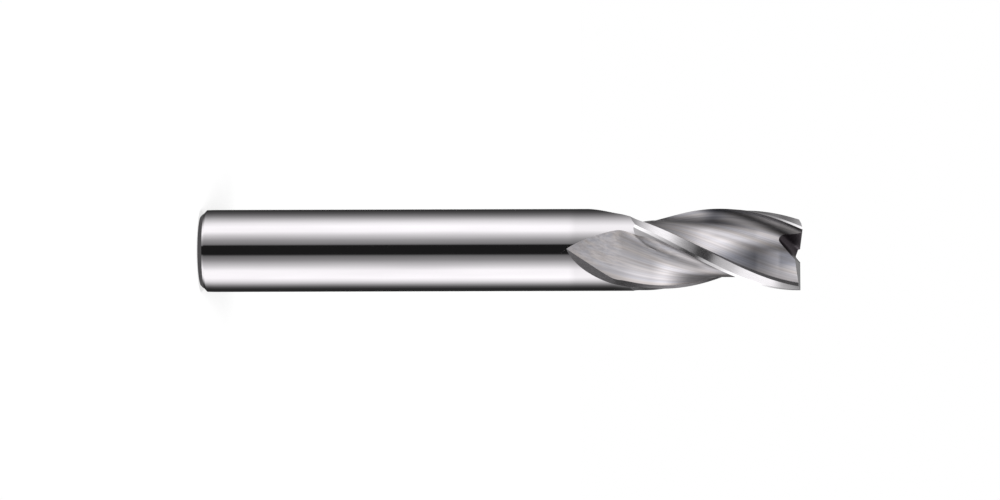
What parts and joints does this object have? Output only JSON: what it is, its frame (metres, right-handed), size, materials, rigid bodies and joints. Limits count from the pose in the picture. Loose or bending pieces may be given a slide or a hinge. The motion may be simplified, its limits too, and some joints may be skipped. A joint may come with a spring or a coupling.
{
  "type": "slot end mill",
  "caption": "Solid carbide square-end slot end mill: plain round shank with a chamfered end, right-hand helical flutes with a run-out, relieved lands and a gashed, centre-cutting end",
  "frame": {"origin": "centre of the shank's end face, on the tool axis, which is the lowest point", "axes": "+Z along the tool axis towards the cutting end; the first tooth's cutting edge reaches the tip on the +X side"},
  "size_m": [0.01, 0.01, 0.073],
  "materials": {
    "carbide": "ground, bright"
  },
  "bodies": {
    "root": {"end_mill": "carbide"}
  },
  "joints": []
}
